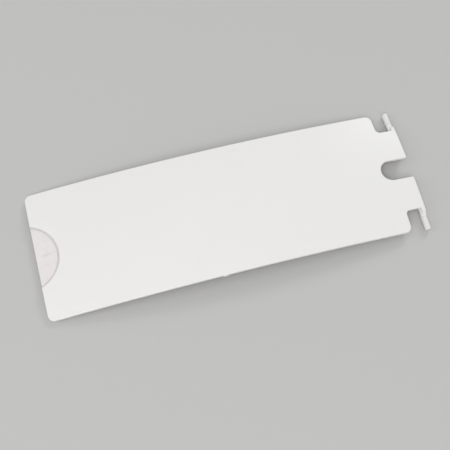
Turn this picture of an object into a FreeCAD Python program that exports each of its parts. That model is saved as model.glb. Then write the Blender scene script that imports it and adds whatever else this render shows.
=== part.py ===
"""Hinged trough lid of a pill counting tray: a bowed, crowned panel that swings on two stub pins.

Frame: +X runs along the lid from the thumb end to the hinge end, +Y across it, +Z up.
The origin is below the middle of the lid, on the surface it lies on. Lengths are in millimetres.
"""
import os

import FreeCAD, Part
import Sketcher
from FreeCAD import Placement, Rotation, Vector

DRIVING_SIZES = {
    # the panel
    "body_length": 162.5,      # thumb end to the shoulders beside the hinge lugs
    "body_width": 60.0,        # across both long edges
    "wall": 1.5,               # thickness of the moulded sheet
    "bow_radius": 758.0,       # of the top surface along the lid
    "crown_radius": 217.0,     # of the top surface across the lid
    "corner_radius": 2.8,      # the four outer corners in plan
    "top_round": 0.4,          # rounding of the upper outline, the recess's rim and its foot
    "bottom_round": 0.3,       # rounding of the lower outline
    # the hinge end
    "notch_depth": 9.84,       # long edge to the side of a lug
    "notch_corner": 2.0,       # inner corner of a side notch
    "slot_width": 9.7,         # between the two lugs
    "slot_depth": 14.1,        # from the lugs' ends to the round end of the slot
    "mouth_corner": 0.7,       # corners at the slot's mouth and the lugs' ends
    "axis_reach": 7.8,         # shoulders to the hinge axis
    "axis_drop": 3.5,          # top of the panel down to the hinge axis, on the centre line
    "bead_radius": 1.5,        # the bead under each lug that holds its pin
    "bead_inset": 2.65,        # slot side of a lug to the inner end of its bead
    "bead_web": 2.2,           # hinge axis up to the top of the bead's web, inside the sheet
    "knuckle_length": 3.8,     # the bead's outer end, beyond the side of its lug
    "knuckle_root_radius": 1.1,
    "knuckle_end_radius": 1.42,
    "knuckle_rise": 0.05,      # the knuckle's axis above the hinge axis
    "web_inset": 0.35,         # hinge axis to the inner face of the web on top of each knuckle
    "web_width": 1.8,
    "web_step": 0.15,          # top of the panel's edge down to the top of the web
    "web_flat": 1.5,           # side of the lug to where the web starts to slope down
    "web_foot": 0.4,           # hinge axis up to the bottom of the web's level part
    "web_depth": 1.0,          # of the sloping part, from its top down
    "web_toe": 0.6,            # hinge axis up to the web's low end, where it sinks into the knuckle
    "web_short": 0.3,          # end of the web to the end of the knuckle
    "web_round": 0.45,         # the web's two upper corners
    # the hinge pins
    "journal_radius": 1.45,
    "journal_length": 6.3,
    "tip_round": 0.75,
    "shank_radius": 0.6,
    "running_clearance": 0.05,  # radial, between a shank and its bore
    "end_gap": 0.06,           # between a pin's two shoulders and the ends of its bore
    "barb_radius": 1.0,
    "barb_land": 0.4,
    "barb_length": 1.3,
    "barb_nose": 0.5,
    # the thumb recess
    "thumb_radius": 15.0,      # the recess floor
    "thumb_wall_run": 1.1,     # plan width of the recess's sloping wall
    "thumb_centre_out": 5.2,   # the recess's centre, beyond the thumb end
    "thumb_depth": 1.3,        # floor below the top surface, at the recess's centre
    "thumb_backing": 1.2,      # wall left under the recess floor
    "backing_lap": 0.9,        # the backing's plan width beyond the recess's rim
    "backing_start": 1.1,      # outer face down to the top of the backing, inside the sheet
    "ridge_round": 0.2,
    "ridge_inset": 3.1,        # thumb end to the tactile ridge
    "ridge_length": 5.1,
    "ridge_width": 0.7,
    "ridge_height": 0.35,
    # the trimmed moulding gate
    "gate_from_thumb_end": 76.9,
    "gate_width": 2.2,
    "gate_height": 0.8,
    "gate_stub": 0.35,
}

# Places that follow from the driving sizes, each a formula in the words above or in an earlier place.
DERIVED_PLACES = {
    "half_width": "dims.body_width / 2",
    "thumb_x": "-(dims.body_length + dims.axis_reach + dims.bead_radius) / 2",
    "shoulder_x": "places.thumb_x + dims.body_length",
    "axis_x": "places.shoulder_x + dims.axis_reach",
    "end_x": "places.axis_x + dims.bead_radius",
    "axis_z": "dims.bead_radius",
    "crown_sag": "dims.crown_radius - sqrt(dims.crown_radius ^ 2 - places.half_width ^ 2)",
    "thumb_z": "dims.wall + places.crown_sag",
    "hinge_z": "places.axis_z + dims.axis_drop",
    "span_x": "places.axis_x - places.thumb_x",
    "span_z": "places.hinge_z - places.thumb_z",
    "chord": "sqrt(places.span_x ^ 2 + places.span_z ^ 2)",
    "apothem": "sqrt(dims.bow_radius ^ 2 - places.chord ^ 2 / 4)",
    "bow_x": "(places.thumb_x + places.axis_x) / 2 + places.apothem * places.span_z / places.chord",
    "bow_z": "(places.thumb_z + places.hinge_z) / 2 - places.apothem * places.span_x / places.chord",
    "lug_side": "places.half_width - dims.notch_depth",
    "slot_side": "dims.slot_width / 2",
    "slot_centre_x": "places.end_x - dims.slot_depth + places.slot_side",
    "bead_inner": "places.slot_side + dims.bead_inset",
    "knuckle_end": "places.lug_side + dims.knuckle_length",
    "bore_radius": "dims.shank_radius + dims.running_clearance",
    "pin_shoulder": "places.knuckle_end + dims.end_gap",
    "shank_length": "places.pin_shoulder - places.bead_inner + dims.end_gap",
    "knuckle_x": "places.end_x - dims.knuckle_end_radius",
    "knuckle_z": "places.axis_z + dims.knuckle_rise",
    "thumb_centre_x": "places.thumb_x - dims.thumb_centre_out",
    "thumb_rim": "dims.thumb_radius + dims.thumb_wall_run",
    "thumb_floor": "dims.bow_radius - dims.thumb_depth",
    "gate_x": "places.thumb_x + dims.gate_from_thumb_end",
    "lug_edge_z": "places.bow_z + sqrt(dims.bow_radius ^ 2 - (places.axis_x - places.bow_x) ^ 2)"
                  " - dims.crown_radius + sqrt(dims.crown_radius ^ 2 - places.lug_side ^ 2)",
    "web_top": "places.lug_edge_z - dims.web_step",
    "gate_z": "places.bow_z + sqrt(dims.bow_radius ^ 2 - (places.gate_x - places.bow_x) ^ 2)"
              " - places.crown_sag - dims.wall / 2",
}

MARGIN = 8.0          # how far a cutting sketch runs past the sheet
ROOT_OVERLAP = 0.6    # how far an added piece starts inside the solid it grows from
TOUCHING = 0.02       # two places nearer than this are the same place
NEAR = 0.5            # an edge's middle is looked for within this of its expected place

doc = FreeCAD.newDocument("trough_lid")
sheet = doc.addObject("Spreadsheet::Sheet", "dims")
places = doc.addObject("App::VarSet", "places")


def fill_sheet():
    for row, (alias, number) in enumerate(DRIVING_SIZES.items(), start=1):
        sheet.set("A%d" % row, alias)
        sheet.set("B%d" % row, str(number))
        sheet.setAlias("B%d" % row, alias)
    doc.recompute()


def derive_places():
    for name, formula in DERIVED_PLACES.items():
        places.addProperty("App::PropertyFloat", name, "Places")
        places.setExpression(name, formula)
        doc.recompute()


def value(formula):
    return float(sheet.evalExpression(str(formula)))


# ---- sketch helpers: every point is tied to the sheet by a formula ----

def origin_feature(body, role):
    return next(item for item in body.Origin.OriginFeatures if item.Role == role)


def new_sketch(body, name, plane, offset=("0", "0", "0"), tilt="0"):
    sketch = body.newObject("Sketcher::SketchObject", name)
    sketch.AttachmentSupport = [(origin_feature(body, plane), "")]
    sketch.MapMode = "FlatFace"
    for letter, formula in zip("xyz", offset):
        sketch.setExpression("AttachmentOffset.Base." + letter, formula)
    sketch.setExpression("AttachmentOffset.Rotation.Angle", tilt)
    return sketch


def tie_point(sketch, geometry, vertex, at):
    """Hold one vertex at a pair of formulas measured from the sketch's origin."""
    for kind, axis, formula in (("DistanceX", -2, at[0]), ("DistanceY", -1, at[1])):
        if formula == "0":
            sketch.addConstraint(Sketcher.Constraint("PointOnObject", geometry, vertex, axis))
        else:
            row = Sketcher.Constraint(kind, -1, 1, geometry, vertex, value(formula))
            index = sketch.addConstraint(row)
            sketch.setExpression("Constraints[%d]" % index, formula)


def point(at):
    return Vector(value(at[0]), value(at[1]), 0)


def add_line(sketch, start, end):
    line = sketch.addGeometry(Part.LineSegment(point(start), point(end)), False)
    tie_point(sketch, line, 1, start)
    tie_point(sketch, line, 2, end)


def add_polygon(sketch, corners):
    for start, end in zip(corners, corners[1:] + corners[:1]):
        add_line(sketch, start, end)


def add_rectangle(sketch, low, high):
    add_polygon(sketch, [low, (high[0], low[1]), high, (low[0], high[1])])


def add_arc(sketch, centre, start, end):
    """An arc that turns counterclockwise from start to end about centre."""
    middle = point(centre)
    first = point(start) - middle
    last = point(end) - middle
    circle = Part.Circle(middle, Vector(0, 0, 1), first.Length)
    turn = Vector(1, 0, 0)
    first_angle = turn.getAngle(first) if first.y >= 0 else -turn.getAngle(first)
    last_angle = turn.getAngle(last) if last.y >= 0 else -turn.getAngle(last)
    arc = sketch.addGeometry(Part.ArcOfCircle(circle, first_angle, last_angle), False)
    tie_point(sketch, arc, 3, centre)
    tie_point(sketch, arc, 1, start)
    horizontal_end = abs(last.y) > abs(last.x)
    kind = "DistanceX" if horizontal_end else "DistanceY"
    axis = -2 if horizontal_end else -1
    formula = end[0] if horizontal_end else end[1]
    if formula == "0":
        sketch.addConstraint(Sketcher.Constraint("PointOnObject", arc, 2, axis))
        return
    index = sketch.addConstraint(Sketcher.Constraint(kind, -1, 1, arc, 2, value(formula)))
    sketch.setExpression("Constraints[%d]" % index, formula)


def add_circle(sketch, centre, radius):
    circle = Part.Circle(point(centre), Vector(0, 0, 1), value(radius))
    ring = sketch.addGeometry(circle, False)
    tie_point(sketch, ring, 3, centre)
    index = sketch.addConstraint(Sketcher.Constraint("Radius", ring, value(radius)))
    sketch.setExpression("Constraints[%d]" % index, radius)


# ---- feature helpers ----

def finish_feature(feature, must_change=None):
    """Recompute, and where a sign is given, insist that the volume went up (1) or down (-1)."""
    doc.recompute()
    if must_change is None:
        return feature
    before = feature.BaseFeature.Shape.Volume if feature.BaseFeature else 0.0
    change = feature.Shape.Volume - before
    if change * must_change <= 1e-6:
        raise RuntimeError("%s changed the volume by %.4f" % (feature.Name, change))
    return feature


def pad(body, sketch, name, length, symmetric=False):
    feature = body.newObject("PartDesign::Pad", name)
    feature.Profile = sketch
    feature.SideType = "Symmetric" if symmetric else "One side"
    feature.setExpression("Length", length)
    return finish_feature(feature, 1)


def pocket_through(body, sketch, name):
    feature = body.newObject("PartDesign::Pocket", name)
    feature.Profile = sketch
    feature.Type = "ThroughAll"
    feature.SideType = "Symmetric"
    return finish_feature(feature, -1)


def revolve(body, sketch, name, axis, angle="360", kind="Revolution"):
    feature = body.newObject("PartDesign::" + kind, name)
    feature.Profile = sketch
    feature.ReferenceAxis = (sketch, [axis])
    feature.Midplane = True
    feature.setExpression("Angle", angle)
    return finish_feature(feature, -1 if kind == "Groove" else 1)


def fillet(body, name, edges, radius):
    base = body.Tip
    feature = body.newObject("PartDesign::Fillet", name)
    feature.Base = (base, edges)
    feature.setExpression("Radius", radius)
    finish_feature(feature)
    if feature.Shape.isNull():
        raise RuntimeError("%s made no shape" % name)
    return feature


def edge_names(body, wanted):
    """Names of the edges of the body so far for which wanted(edge) is true."""
    edges = enumerate(body.Tip.Shape.Edges, start=1)
    names = ["Edge%d" % number for number, edge in edges if wanted(edge)]
    if not names:
        raise RuntimeError("no edge found after %s" % body.Tip.Name)
    return names


def upright_edges(body, corners):
    """Names of the straight upright edges that stand at the given plan corners."""
    places_in_plan = [(value(x), value(y)) for x, y in corners]

    def wanted(edge):
        box = edge.BoundBox
        middle = edge.CenterOfMass
        upright = box.XLength < TOUCHING and box.YLength < TOUCHING
        return upright and any(abs(middle.x - x) < TOUCHING and abs(middle.y - y) < TOUCHING
                               for x, y in places_in_plan)
    return edge_names(body, wanted)


def mirror_pairs(*pairs):
    return [(x, sign + "(" + y + ")") for x, y in pairs for sign in ("", "-")]


# ---- the lid panel, feature by feature ----

def bowed_sheet(body):
    """The doubly curved sheet: its crowned cross-section, turned about the far-off bow axis."""
    sketch = new_sketch(body, "cross_section", "YZ_Plane", ("0", "places.bow_z", "places.bow_x"))
    centre = ("0", "dims.bow_radius - dims.crown_radius")
    side = "places.half_width"
    ends = {}
    for level, radius in (("top", "dims.crown_radius"), ("under", "(dims.crown_radius - dims.wall)")):
        height = centre[1] + " + sqrt(" + radius + " ^ 2 - places.half_width ^ 2)"
        ends[level] = ((side, height), ("-" + side, height))
        add_arc(sketch, centre, *ends[level])
    for right_or_left in (0, 1):
        add_line(sketch, ends["under"][right_or_left], ends["top"][right_or_left])
    reach = "2 * asin((places.bow_x - places.thumb_x + %s) / dims.bow_radius)" % MARGIN
    revolve(body, sketch, "sheet", "H_Axis", reach)


def thumb_sketch(body, name):
    """A sketch on the lid's middle plane whose V axis is square to the sheet at the recess's centre."""
    lean = "asin((places.bow_x - places.thumb_centre_x) / dims.bow_radius)"
    return new_sketch(body, name, "XZ_Plane", ("places.bow_x", "places.bow_z", "0"), lean)


def thumb_backing(body):
    """The disc under the sheet that keeps a wall below the recess floor."""
    sketch = thumb_sketch(body, "backing_section")
    bottom = "places.thumb_floor - dims.thumb_backing"
    corner = ("places.thumb_rim + dims.backing_lap", "dims.bow_radius - dims.backing_start")
    add_rectangle(sketch, ("0", bottom), corner)
    revolve(body, sketch, "thumb_backing", "V_Axis")


def plan_outline(body):
    """Cut both ends, the side notches and the slot between the lugs."""
    beyond = "places.half_width + %s" % MARGIN
    past_end = "places.end_x + %s" % MARGIN
    sketch = new_sketch(body, "thumb_end_line", "XY_Plane")
    add_rectangle(sketch, ("places.thumb_x - 3 * %s" % MARGIN, "-(%s)" % beyond),
                  ("places.thumb_x", beyond))
    pocket_through(body, sketch, "thumb_end")
    sketch = new_sketch(body, "hinge_end_line", "XY_Plane")
    far_end = "places.end_x + 10 * %s" % MARGIN
    add_rectangle(sketch, ("places.end_x", "-(%s)" % beyond), (far_end, beyond))
    pocket_through(body, sketch, "hinge_end")
    sketch = new_sketch(body, "notch_lines", "XY_Plane")
    add_rectangle(sketch, ("places.shoulder_x", "places.lug_side"), (past_end, beyond))
    add_rectangle(sketch, ("places.shoulder_x", "-(%s)" % beyond), (past_end, "-places.lug_side"))
    pocket_through(body, sketch, "side_notches")
    sketch = new_sketch(body, "slot_lines", "XY_Plane")
    left = ("places.slot_centre_x", "places.slot_side")
    right = ("places.slot_centre_x", "-places.slot_side")
    add_arc(sketch, ("places.slot_centre_x", "0"), left, right)
    add_line(sketch, right, (past_end, right[1]))
    add_line(sketch, (past_end, right[1]), (past_end, left[1]))
    add_line(sketch, (past_end, left[1]), left)
    pocket_through(body, sketch, "lug_slot")


def plan_corners(body):
    outer = mirror_pairs(("places.thumb_x", "places.half_width"), ("places.shoulder_x", "places.half_width"))
    fillet(body, "outer_corners", upright_edges(body, outer), "dims.corner_radius")
    inner = mirror_pairs(("places.shoulder_x", "places.lug_side"))
    fillet(body, "notch_corners", upright_edges(body, inner), "dims.notch_corner")
    mouth = mirror_pairs(("places.end_x", "places.slot_side"), ("places.end_x", "places.lug_side"))
    fillet(body, "lug_corners", upright_edges(body, mouth), "dims.mouth_corner")


def outline_edges(body, upper):
    """Edges of the sheet's upper or lower face, leaving out the ring where the backing joins it."""
    sheet_faces = sorted(body.Tip.Shape.Faces, key=lambda face: face.Area)[-2:]
    sheet_faces.sort(key=lambda face: face.CenterOfMass.z)
    face = sheet_faces[1 if upper else 0]
    centre = value("places.thumb_centre_x")
    keep_off = value("places.thumb_rim + 2 * dims.backing_lap")

    def wanted(edge):
        middle = edge.CenterOfMass
        from_recess = Vector(middle.x - centre, middle.y, 0).Length
        return (upper or from_recess > keep_off) and any(edge.isSame(other) for other in face.Edges)
    return edge_names(body, wanted)


def soft_edges(body):
    upper = set(outline_edges(body, True)) | set(recess_arcs(body)) | set(recess_lip(body))
    fillet(body, "upper_rounds", sorted(upper), "dims.top_round")
    fillet(body, "lower_rounds", outline_edges(body, False), "dims.bottom_round")


def recess_arcs(body):
    """The rim and the foot of the recess's conical wall."""
    wall = next(face for face in body.Tip.Shape.Faces if isinstance(face.Surface, Part.Cone))
    arcs = [edge for edge in wall.Edges if edge.Length > value("dims.thumb_radius")]
    return edge_names(body, lambda edge: any(edge.isSame(arc) for arc in arcs))


def recess_lip(body):
    """The straight edge where the recess floor meets the thumb end."""
    end = value("places.thumb_x")
    shortest = value("dims.thumb_radius")
    middle_height = value("places.thumb_z - dims.thumb_depth")

    def is_lip(edge):
        middle = edge.CenterOfMass
        at_end = abs(middle.x - end) < TOUCHING and abs(middle.y) < NEAR
        return at_end and edge.Length > shortest and abs(middle.z - middle_height) < NEAR
    return edge_names(body, is_lip)


def ridge_top_edges(body):
    area = value("dims.ridge_length * dims.ridge_width")
    tops = [face for face in body.Tip.Shape.Faces if abs(face.Area - area) < TOUCHING]
    highest = max(tops, key=lambda face: face.CenterOfMass.z)
    return edge_names(body, lambda edge: any(edge.isSame(other) for other in highest.Edges))


def thumb_recess(body):
    """The shallow scoop for a thumb, open at the thumb end."""
    sketch = thumb_sketch(body, "recess_section")
    floor = "places.thumb_floor"
    above = "(dims.bow_radius + dims.thumb_depth)"
    flare = "dims.thumb_radius + 2 * dims.thumb_wall_run"
    add_polygon(sketch, [("0", floor), ("dims.thumb_radius", floor), (flare, above), ("0", above)])
    revolve(body, sketch, "thumb_recess", "V_Axis", kind="Groove")


def tactile_ridge(body):
    """A small raised bar on the recess floor, along the lid's centre line."""
    ridge_start = "dims.thumb_centre_out + dims.ridge_inset"
    sketch = thumb_sketch(body, "ridge_side")
    low = "places.thumb_floor - dims.thumb_backing / 2"
    high = "places.thumb_floor + dims.ridge_height"
    add_rectangle(sketch, (ridge_start, low), (ridge_start + " + dims.ridge_length", high))
    pad(body, sketch, "tactile_ridge", "dims.ridge_width", symmetric=True)
    fillet(body, "ridge_rounds", ridge_top_edges(body), "dims.ridge_round")


def hinge_bead(body):
    """Under the lug at -Y, a bead for its pin: a round bottom with a web up into the sheet."""
    axis = ("places.axis_x", "places.axis_z")
    left = "places.axis_x - dims.bead_radius"
    right = "places.axis_x + dims.bead_radius"
    web = "places.axis_z + dims.bead_web"
    sketch = new_sketch(body, "bead_section", "XZ_Plane", ("0", "0", "places.bead_inner"))
    add_arc(sketch, axis, (left, axis[1]), (right, axis[1]))
    sides = [(right, axis[1]), (right, web), (left, web), (left, axis[1])]
    for start, end in zip(sides, sides[1:]):
        add_line(sketch, start, end)
    return pad(body, sketch, "bead", "places.lug_side - places.bead_inner")


def knuckle(body):
    """The bead's outer end: a slight cone from the side of the lug out to the pin's shoulder."""
    start = "places.lug_side - %s" % ROOT_OVERLAP
    sketch = new_sketch(body, "knuckle_root", "XZ_Plane", ("0", "0", start))
    add_circle(sketch, ("places.knuckle_x", "places.knuckle_z"), "dims.knuckle_root_radius")
    length = "(dims.knuckle_length + %s)" % ROOT_OVERLAP
    cone = pad(body, sketch, "knuckle", length)
    taper = "atan((dims.knuckle_end_radius - dims.knuckle_root_radius) / %s)" % length
    cone.setExpression("TaperAngle", taper)
    return finish_feature(cone, 1)


def web_section(body, name, start, low):
    """A cross-section of the web, with rounded upper corners, at start from the middle of the lid."""
    sketch = new_sketch(body, name, "XZ_Plane", ("0", "0", start))
    left = "places.axis_x - dims.web_inset"
    right = left + " + dims.web_width"
    top = "places.web_top"
    shoulder = "(places.web_top - dims.web_round)"
    inner_left = left + " + dims.web_round"
    inner_right = right + " - dims.web_round"
    add_line(sketch, (left, low), (right, low))
    add_line(sketch, (right, low), (right, shoulder))
    add_arc(sketch, (inner_right, shoulder), (right, shoulder), (inner_right, top))
    add_line(sketch, (inner_right, top), (inner_left, top))
    add_arc(sketch, (inner_left, shoulder), (inner_left, top), (left, shoulder))
    add_line(sketch, (left, shoulder), (left, low))
    return sketch


def level_web(body):
    """The web on top of the knuckle, level with the lug's end corner at first."""
    start = "places.lug_side - %s" % ROOT_OVERLAP
    sketch = web_section(body, "level_section", start, "places.axis_z + dims.web_foot")
    return pad(body, sketch, "level_web", "dims.web_flat + %s" % ROOT_OVERLAP)


def sloping_web(body):
    """The rest of the web, which slopes down until it has sunk into the knuckle."""
    start = "places.lug_side + dims.web_flat"
    sketch = web_section(body, "slope_section", start, "places.web_top - dims.web_depth")
    run = "places.knuckle_end - dims.web_short - places.lug_side - dims.web_flat"
    slope = body.newObject("PartDesign::Pad", "sloping_web")
    slope.Profile = sketch
    slope.UseCustomVector = True
    slope.AlongSketchNormal = True
    slope.Direction = Vector(0, -1, 0)
    slope.setExpression("Direction.y", "-(%s)" % run)
    slope.setExpression("Direction.z", "places.axis_z + dims.web_toe - places.web_top")
    slope.setExpression("Length", run)
    return finish_feature(slope, 1)


def hinge_end(body):
    features = [hinge_bead(body), knuckle(body), level_web(body), sloping_web(body)]
    mirror = body.newObject("PartDesign::Mirrored", "other_lug")
    mirror.Originals = features
    mirror.MirrorPlane = (origin_feature(body, "XZ_Plane"), [""])
    body.Tip = mirror
    finish_feature(mirror, 1)
    sketch = new_sketch(body, "bore_circle", "XZ_Plane")
    add_circle(sketch, ("places.axis_x", "places.axis_z"), "places.bore_radius")
    pocket_through(body, sketch, "pin_bores")


def moulding_gate(body):
    """The stub left on one long edge where the moulding was cut from its runner."""
    start = "places.half_width - %s" % ROOT_OVERLAP
    sketch = new_sketch(body, "gate_section", "XZ_Plane", ("0", "0", start))
    low = ("places.gate_x - dims.gate_width / 2", "places.gate_z - dims.gate_height / 2")
    high = ("places.gate_x + dims.gate_width / 2", "places.gate_z + dims.gate_height / 2")
    add_rectangle(sketch, low, high)
    pad(body, sketch, "gate_stub", "dims.gate_stub + %s" % ROOT_OVERLAP)


def make_lid_panel():
    body = doc.addObject("PartDesign::Body", "LidPanel")
    body.Label = "lid_panel"
    bowed_sheet(body)
    thumb_backing(body)
    plan_outline(body)
    plan_corners(body)
    thumb_recess(body)
    soft_edges(body)
    tactile_ridge(body)
    hinge_end(body)
    moulding_gate(body)
    return body


# ---- the hinge pins ----

def make_hinge_pin(label, side):
    """A stepped stub pin: a journal outside the lid, a shank in its bore and a barb that keeps it in.

    The pin is drawn along its own X axis from the shoulder outwards; side is 1 for +Y, -1 for -Y.
    """
    body = doc.addObject("PartDesign::Body", "Pin")
    body.Label = label
    sketch = new_sketch(body, label + "_profile", "XY_Plane")
    tip = "dims.journal_length"
    tip_start = "dims.journal_length - dims.tip_round"
    tip_ring = "dims.journal_radius - dims.tip_round"
    barb_end = "-(places.shank_length + dims.barb_length)"
    barb_flat = "-(places.shank_length + dims.barb_land)"
    shank_end = "-places.shank_length"
    outline = [
        (tip_start, "dims.journal_radius"), ("0", "dims.journal_radius"), ("0", "dims.shank_radius"),
        (shank_end, "dims.shank_radius"), (shank_end, "dims.barb_radius"), (barb_flat, "dims.barb_radius"),
        (barb_end, "dims.barb_nose"), (barb_end, "0"), (tip, "0"), (tip, tip_ring),
    ]
    for start, end in zip(outline, outline[1:]):
        add_line(sketch, start, end)
    add_arc(sketch, (tip_start, tip_ring), outline[-1], outline[0])
    revolve(body, sketch, label + "_turned", "H_Axis")
    body.Placement = Placement(Vector(0, 0, 0), Rotation(Vector(0, 0, 1), 90 * side))
    body.setExpression("Placement.Base.x", "places.axis_x")
    body.setExpression("Placement.Base.y", "%d * places.pin_shoulder" % side)
    body.setExpression("Placement.Base.z", "places.axis_z")
    doc.recompute()
    return body


# ---- build, check, write ----

def check(bodies):
    for item in doc.Objects:
        if "Invalid" in item.State or "Error" in item.State:
            raise RuntimeError("%s failed: %s" % (item.Name, item.State))
    for body in bodies:
        if body.Shape.isNull() or not body.Shape.isValid() or len(body.Shape.Solids) != 1:
            raise RuntimeError("%s isn't one valid solid" % body.Label)


def main():
    fill_sheet()
    derive_places()
    bodies = [
        make_lid_panel(),
        make_hinge_pin("hinge_pin_left", 1),
        make_hinge_pin("hinge_pin_right", -1),
    ]
    check(bodies)
    os.makedirs("parts", exist_ok=True)
    for body in bodies:
        body.Shape.exportStep("parts/%s.step" % body.Label)
        print(body.Label, round(body.Shape.Volume, 2), "mm3")


main()
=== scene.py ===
"""The looks of a hinged trough lid: its moulded plastic, a pale floor, soft light and the camera."""

import bpy
from mathutils import Matrix, Vector


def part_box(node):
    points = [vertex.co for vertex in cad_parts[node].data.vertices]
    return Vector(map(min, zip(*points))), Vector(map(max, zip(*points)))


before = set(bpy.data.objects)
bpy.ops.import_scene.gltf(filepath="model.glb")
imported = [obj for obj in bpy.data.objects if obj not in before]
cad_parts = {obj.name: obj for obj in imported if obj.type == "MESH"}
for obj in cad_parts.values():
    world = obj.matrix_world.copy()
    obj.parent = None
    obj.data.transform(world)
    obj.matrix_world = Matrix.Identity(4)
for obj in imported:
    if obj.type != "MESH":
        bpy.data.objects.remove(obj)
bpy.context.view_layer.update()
MM = 1000.0             # shader positions are scaled to millimetres

# the lid's features that its finish follows, in millimetres
THUMB_OUT = 5.2         # the thumb recess's centre, beyond the thumb end
THUMB_RADIUS = 15.0
GATE_X = -9.0           # the moulding gate, on one long edge
EJECTOR_SPACING = 40.0  # between ejector marks, along the lid
EJECTOR_SHIFT = 180.0   # puts them at 20 and 60 either side of the middle
EJECTOR_ROW = 17.0      # from the lid's centre line to each row of marks
EJECTOR_EDGE = (2.35, 2.5)  # radii between which a mark's rim fades out

# how deep the surface's marks look, in metres
GRAIN_DEPTH = 0.000008
WAVE_DEPTH = 0.00006
SCRATCH_DEPTH = 0.000010
EJECTOR_DEPTH = 0.00008

# how strongly the recess is tinted with painted shade, 0 to 1
THUMB_SHADE_STRENGTH = 0.9
WALL_SHADE = 0.62

# colours
# painted shade on the floor of the thumb recess
THUMB_SHADE_GREY = (0.745, 0.715, 0.705, 1)
STREAK_WHITE = (0.90, 0.90, 0.90, 1)
# painted shade, in corners and creases and along the thumb recess's wall
PAINTED_SHADE_GREY = (0.50, 0.475, 0.455, 1)
LID_COLOURS = ((0.810, 0.802, 0.785), (0.800, 0.787, 0.757))    # fresh, aged
# the pins' colours are darker than the lid's: painted shade on pins of the same white plastic
SHADED_PIN_COLOURS = ((0.745, 0.740, 0.715), (0.735, 0.722, 0.685))


# ---- camera, light and floor ----

def look_along(location, forward, up):
    """A matrix that puts an object at location, looking along forward with up upwards."""
    back = -Vector(forward).normalized()
    right = Vector(up).cross(back).normalized()
    turned = Matrix((right, back.cross(right), back)).transposed()
    return Matrix.Translation(location) @ turned.to_4x4()


def add_object(name, data):
    made = bpy.data.objects.new(name, data)
    bpy.context.scene.collection.objects.link(made)
    return made


def make_camera():
    data = bpy.data.cameras.new("camera")
    data.lens = 72.2
    data.sensor_width = 36.0
    data.clip_start = 0.01
    data.clip_end = 10.0
    camera = add_object("camera", data)
    camera.matrix_world = look_along((-0.0535, -0.1537, 0.3686), (0.1275, 0.3714, -0.9197),
                                     (0.2300, 0.8909, 0.3917))
    bpy.context.scene.camera = camera


def softbox(name, location, size, power, colour):
    """A large rectangular light that faces the lid; size is its width and height."""
    data = bpy.data.lights.new(name, "AREA")
    data.shape = "RECTANGLE"
    data.size, data.size_y = size
    data.energy = power
    data.color = colour
    light = add_object(name, data)
    light.matrix_world = look_along(location, -Vector(location), (0, 1, 0.01))


def make_light():
    world = bpy.data.worlds.new("studio")
    bpy.context.scene.world = world
    world.use_nodes = True
    background = world.node_tree.nodes["Background"]
    background.inputs["Color"].default_value = (0.96, 0.97, 1.0, 1)
    background.inputs["Strength"].default_value = 0.50
    softbox("key", (1.30, 1.30, 1.00), (0.6, 0.6), 10.5, (0.96, 0.98, 1.0))
    softbox("top", (-0.35, -0.85, 1.50), (1.2, 1.2), 15.5, (1.0, 0.985, 0.96))
    softbox("side", (-1.50, 0.15, 0.85), (0.9, 0.5), 4.0, (1.0, 0.98, 0.95))


def make_floor():
    mesh = bpy.data.meshes.new("floor")
    reach = 20.0    # metres, well past every view
    corners = [(-reach, -reach, 0), (reach, -reach, 0), (reach, reach, 0), (-reach, reach, 0)]
    mesh.from_pydata(corners, [], [(0, 1, 2, 3)])
    floor = add_object("floor", mesh)
    material, tree, shader = new_material("floor_paper")
    shader.inputs["Base Color"].default_value = (0.52, 0.52, 0.51, 1)
    shader.inputs["Roughness"].default_value = 0.9
    shader.inputs["Specular IOR Level"].default_value = 0.0
    mesh.materials.append(material)


# ---- shader node helpers ----

def new_material(name):
    material = bpy.data.materials.new(name)
    material.use_nodes = True
    tree = material.node_tree
    return material, tree, tree.nodes["Principled BSDF"]


def plug(tree, socket, source):
    """Feed a socket from another socket, or set it to a plain value."""
    if isinstance(source, bpy.types.NodeSocket):
        tree.links.new(source, socket)
    else:
        socket.default_value = source


def compute(tree, operation, first, second=0.0, third=0.0):
    node = tree.nodes.new("ShaderNodeMath")
    node.operation = operation
    for socket, source in zip(node.inputs, (first, second, third)):
        plug(tree, socket, source)
    return node.outputs[0]


def noise(tree, vector, scale, detail=2.0, roughness=0.5):
    node = tree.nodes.new("ShaderNodeTexNoise")
    plug(tree, node.inputs["Vector"], vector)
    node.inputs["Scale"].default_value = scale
    node.inputs["Detail"].default_value = detail
    node.inputs["Roughness"].default_value = roughness
    return node.outputs["Fac"]


def spread(tree, value, low, high, to_low, to_high):
    """Map low..high onto to_low..to_high, softly at both ends."""
    node = tree.nodes.new("ShaderNodeMapRange")
    node.interpolation_type = "SMOOTHSTEP"
    for socket, source in zip(node.inputs, (value, low, high, to_low, to_high)):
        plug(tree, socket, source)
    return node.outputs[0]


def mapped(tree, vector, scale, turn=0.0):
    node = tree.nodes.new("ShaderNodeMapping")
    plug(tree, node.inputs["Vector"], vector)
    node.inputs["Scale"].default_value = scale
    node.inputs["Rotation"].default_value = (0, 0, turn)
    return node.outputs[0]


def mix_colours(tree, factor, first, second):
    node = tree.nodes.new("ShaderNodeMix")
    node.data_type = "RGBA"
    plug(tree, node.inputs["Factor"], factor)
    plug(tree, node.inputs["A"], first)
    plug(tree, node.inputs["B"], second)
    return node.outputs["Result"]


def bump(tree, height, depth, normal=None):
    """Raise the surface by up to depth metres where height is 1."""
    node = tree.nodes.new("ShaderNodeBump")
    node.inputs["Distance"].default_value = depth
    plug(tree, node.inputs["Height"], height)
    if normal:
        plug(tree, node.inputs["Normal"], normal)
    return node.outputs["Normal"]


# ---- the plastic ----

def gate_place():
    """Where the melt entered: the middle of one long edge, a little towards the thumb end."""
    low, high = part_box("lid_panel")
    return (GATE_X, low.y * MM, (low.z + high.z) / 2 * MM)


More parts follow.
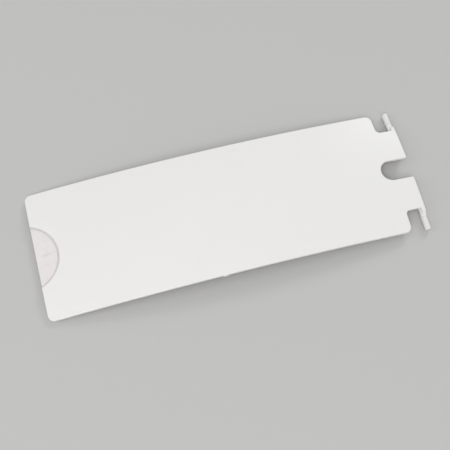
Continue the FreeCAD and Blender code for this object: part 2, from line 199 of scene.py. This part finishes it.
def flow_marks(tree, places):
    """Faint streaks that fan out from the moulding gate, as the melt ran."""
    shifted = tree.nodes.new("ShaderNodeVectorMath")
    shifted.operation = "SUBTRACT"
    plug(tree, shifted.inputs[0], places)
    shifted.inputs[1].default_value = gate_place()
    parts = tree.nodes.new("ShaderNodeSeparateXYZ")
    plug(tree, parts.inputs[0], shifted.outputs[0])
    angle = compute(tree, "ARCTAN2", parts.outputs["Y"], parts.outputs["X"])
    length = tree.nodes.new("ShaderNodeVectorMath")
    length.operation = "LENGTH"
    plug(tree, length.inputs[0], shifted.outputs[0])
    fan = tree.nodes.new("ShaderNodeCombineXYZ")
    plug(tree, fan.inputs["X"], compute(tree, "MULTIPLY", angle, 9.0))
    plug(tree, fan.inputs["Y"], compute(tree, "MULTIPLY", length.outputs["Value"], 0.02))
    return noise(tree, fan.outputs[0], 1.0, 3.0)


def scratches(tree, places):
    """Hair-fine wear in two directions, gathered in patches."""
    lines = []
    for turn in (0.35, -0.9):
        stretched = mapped(tree, places, (0.05, 5.0, 1.0), turn)
        lines.append(spread(tree, noise(tree, stretched, 1.0, 2.0), 0.66, 0.74, 0.0, 1.0))
    patches = spread(tree, noise(tree, places, 0.05, 1.0), 0.42, 0.66, 0.0, 1.0)
    return compute(tree, "MULTIPLY", compute(tree, "MAXIMUM", *lines), patches)


def ejector_marks(tree, places):
    """Shallow round witness marks on the underside, in two rows along the lid."""
    parts = tree.nodes.new("ShaderNodeSeparateXYZ")
    plug(tree, parts.inputs[0], places)
    shifted = compute(tree, "ADD", parts.outputs["X"], EJECTOR_SHIFT)
    along = compute(tree, "PINGPONG", shifted, EJECTOR_SPACING / 2)
    across = compute(tree, "SUBTRACT", compute(tree, "ABSOLUTE", parts.outputs["Y"]), EJECTOR_ROW)
    squares = compute(tree, "MULTIPLY_ADD", along, along, compute(tree, "MULTIPLY", across, across))
    away = compute(tree, "SQRT", squares)
    disc = spread(tree, away, *EJECTOR_EDGE, 1.0, 0.0)
    facing = tree.nodes.new("ShaderNodeTexCoord").outputs["Normal"]
    normal = tree.nodes.new("ShaderNodeSeparateXYZ")
    plug(tree, normal.inputs[0], facing)
    below = compute(tree, "LESS_THAN", normal.outputs["Z"], -0.5)
    return compute(tree, "MULTIPLY", disc, below)


def thumb_shade(tree, places):
    """Masks for the painted shade of the recess: a grey on its floor and a dark line along its wall.

    The two are painted tints, for shade that the even light doesn't give.
    They go by X and Y alone, so the underside of the lid is tinted too, below the recess.
    """
    low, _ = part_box("lid_panel")
    away = tree.nodes.new("ShaderNodeVectorMath")
    away.operation = "DISTANCE"
    plug(tree, away.inputs[0], mapped(tree, places, (1.0, 1.0, 0.0)))
    away.inputs[1].default_value = (low.x * MM - THUMB_OUT, 0.0, 0.0)
    distance = away.outputs["Value"]
    floor = spread(tree, distance, THUMB_RADIUS - 0.8, THUMB_RADIUS + 0.4, 1.0, 0.0)
    unevenness = spread(tree, noise(tree, places, 0.25, 3.0), 0.3, 0.7, 0.6, 1.0)
    inner = spread(tree, distance, THUMB_RADIUS - 0.6, THUMB_RADIUS - 0.1, 0.0, 1.0)
    outer = spread(tree, distance, THUMB_RADIUS + 0.1, THUMB_RADIUS + 0.5, 1.0, 0.0)
    return compute(tree, "MULTIPLY", floor, unevenness), compute(tree, "MULTIPLY", inner, outer)


def moulded_plastic(name, colour, aged, marked):
    """White styrene as moulded: a soft sheen, faint clouding, flow streaks, fine wear and painted shade in
    its corners. Where marked is true it also has painted shade in the thumb recess and ejector marks, which
    only the lid has.
    """
    material, tree, shader = new_material(name)
    position = tree.nodes.new("ShaderNodeTexCoord").outputs["Object"]
    places = mapped(tree, position, (MM, MM, MM))

    clouds = spread(tree, noise(tree, places, 0.035, 3.0), 0.35, 0.7, 0.0, 1.0)
    streaks = flow_marks(tree, places)
    worn = scratches(tree, places)
    # painted shade: darker where ambient occlusion finds corners and creases
    corners = tree.nodes.new("ShaderNodeAmbientOcclusion")
    corners.samples = 6
    corners.inputs["Distance"].default_value = 0.0012
    painted_shade = spread(tree, corners.outputs["AO"], 0.35, 0.9, 0.22, 0.0)

    tint = mix_colours(tree, compute(tree, "MULTIPLY", clouds, 0.5), (*colour, 1), (*aged, 1))
    tint = mix_colours(tree, compute(tree, "MULTIPLY", streaks, 0.10), tint, STREAK_WHITE)
    if marked:
        # painted shade in the thumb recess: a grey floor and a darker line along its wall
        shaded_floor, wall_shade = thumb_shade(tree, places)
        tint = mix_colours(tree, compute(tree, "MULTIPLY", shaded_floor, THUMB_SHADE_STRENGTH), tint, THUMB_SHADE_GREY)
        painted_shade = compute(tree, "MULTIPLY_ADD", wall_shade, WALL_SHADE, painted_shade)
    # mixes the painted shade into the colour
    tint = mix_colours(tree, painted_shade, tint, PAINTED_SHADE_GREY)
    plug(tree, shader.inputs["Base Color"], tint)

    sheen = compute(tree, "MULTIPLY_ADD", clouds, 0.06, 0.27)
    sheen = compute(tree, "MULTIPLY_ADD", streaks, 0.05, sheen)
    sheen = compute(tree, "MULTIPLY_ADD", worn, 0.22, sheen)
    plug(tree, shader.inputs["Roughness"], sheen)

    normal = bump(tree, noise(tree, places, 3.2, 3.0, 0.6), GRAIN_DEPTH)
    normal = bump(tree, noise(tree, places, 0.09, 1.0), WAVE_DEPTH, normal)
    normal = bump(tree, worn, -SCRATCH_DEPTH, normal)
    if marked:
        normal = bump(tree, ejector_marks(tree, places), -EJECTOR_DEPTH, normal)
    plug(tree, shader.inputs["Normal"], normal)

    shader.inputs["IOR"].default_value = 1.55
    shader.inputs["Subsurface Weight"].default_value = 0.12
    shader.inputs["Subsurface Radius"].default_value = (1.0, 0.85, 0.7)
    shader.inputs["Subsurface Scale"].default_value = 0.0012
    return material


def finish_plastic():
    lid = moulded_plastic("lid_plastic", *LID_COLOURS, True)
    pins = moulded_plastic("pin_plastic", *SHADED_PIN_COLOURS, False)
    for name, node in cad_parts.items():
        node.data.materials.clear()
        node.data.materials.append(lid if name == "lid_panel" else pins)


bpy.context.scene.view_settings.view_transform = "Standard"
make_camera()
make_light()
make_floor()
finish_plastic()
